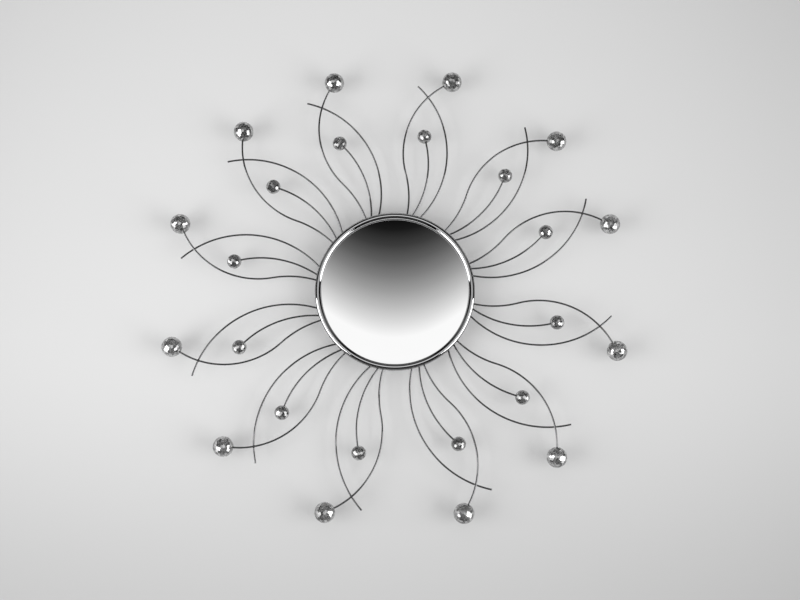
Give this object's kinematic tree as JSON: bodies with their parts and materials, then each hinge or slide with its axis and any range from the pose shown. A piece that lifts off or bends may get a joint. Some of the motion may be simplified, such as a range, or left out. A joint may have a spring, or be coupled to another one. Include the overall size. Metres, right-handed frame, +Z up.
{
  "type": "girandole mirror",
  "caption": "Round convex wall mirror in a slim polished bezel, ringed by open petals of bent wire that end in cut-glass balls; hangs on a keyhole bracket.",
  "frame": {"origin": "the point on the wall plane where the hanging screw bears in the keyhole, above the mirror's middle", "axes": "+Z up, +X to the right as seen from the front, the mirror faces -Y and +Y points into the wall"},
  "size_m": [0.7757, 0.0402, 0.7719],
  "materials": {
    "bezel_chrome": "polished chrome plate on rolled steel",
    "wire_chrome": "bright chrome plate on drawn wire",
    "mirror_silvering": "silvered float glass",
    "cut_glass": "clear cut and polished glass",
    "board_mdf": "dark-faced fibreboard",
    "zinc_steel": "zinc-plated steel strip",
    "screw_zinc": "zinc-plated screw",
    "bumper_rubber": "black moulded rubber"
  },
  "bodies": {
    "root": {"bezel_ring": "bezel_chrome", "mirror_glass": "mirror_silvering", "backing_board": "board_mdf", "weld_ring": "zinc_steel", "hanger_bracket": "zinc_steel", "screw_1": "screw_zinc", "screw_2": "screw_zinc", "screw_3": "screw_zinc", "screw_4": "screw_zinc", "bumper_left": "bumper_rubber", "bumper_right": "bumper_rubber", "petal_01": "wire_chrome", "petal_02": "wire_chrome", "petal_03": "wire_chrome", "petal_04": "wire_chrome", "petal_05": "wire_chrome", "petal_06": "wire_chrome", "petal_07": "wire_chrome", "petal_08": "wire_chrome", "petal_09": "wire_chrome", "petal_10": "wire_chrome", "petal_11": "wire_chrome", "petal_12": "wire_chrome", "stem_01": "wire_chrome", "stem_02": "wire_chrome", "stem_03": "wire_chrome", "stem_04": "wire_chrome", "stem_05": "wire_chrome", "stem_06": "wire_chrome", "stem_07": "wire_chrome", "stem_08": "wire_chrome", "stem_09": "wire_chrome", "stem_10": "wire_chrome", "stem_11": "wire_chrome", "stem_12": "wire_chrome", "crystal_large_01": "cut_glass", "crystal_large_02": "cut_glass", "crystal_large_03": "cut_glass", "crystal_large_04": "cut_glass", "crystal_large_05": "cut_glass", "crystal_large_06": "cut_glass", "crystal_large_07": "cut_glass", "crystal_large_08": "cut_glass", "crystal_large_09": "cut_glass", "crystal_large_10": "cut_glass", "crystal_large_11": "cut_glass", "crystal_large_12": "cut_glass", "crystal_small_01": "cut_glass", "crystal_small_02": "cut_glass", "crystal_small_03": "cut_glass", "crystal_small_04": "cut_glass", "crystal_small_05": "cut_glass", "crystal_small_06": "cut_glass", "crystal_small_07": "cut_glass", "crystal_small_08": "cut_glass", "crystal_small_09": "cut_glass", "crystal_small_10": "cut_glass", "crystal_small_11": "cut_glass", "crystal_small_12": "cut_glass"}
  },
  "joints": []
}
